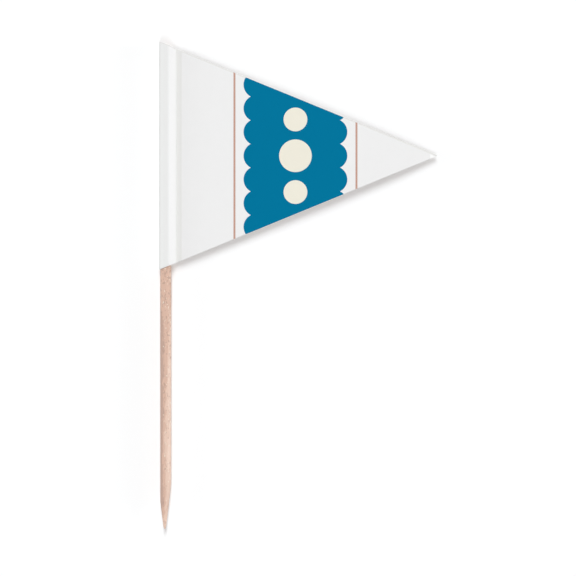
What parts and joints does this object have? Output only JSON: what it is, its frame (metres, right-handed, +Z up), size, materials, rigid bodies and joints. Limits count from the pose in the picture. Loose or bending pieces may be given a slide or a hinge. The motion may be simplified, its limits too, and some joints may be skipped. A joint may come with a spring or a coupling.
{
  "type": "flag toothpick",
  "caption": "Round wooden pick with a sharpened point and a triangular paper flag folded and glued round its blunt end.",
  "frame": {"origin": "middle of the whole part's outline seen from above, at the surface that it lies on", "axes": "+X from the rolled fold towards the flag's point, +Y along the pick towards its blunt end, +Z up out of the printed leaf"},
  "size_m": [0.0376, 0.0658, 0.0018],
  "materials": {
    "birch_wood": "matte",
    "white_paper": "matte",
    "blue_ink": "matte",
    "cream_ink": "matte",
    "rust_ink": "matte"
  },
  "bodies": {
    "root": {"wooden_pick": "birch_wood", "paper_flag": "white_paper", "blue_print": "blue_ink", "cream_print": "cream_ink", "rust_print": "rust_ink"}
  },
  "joints": []
}
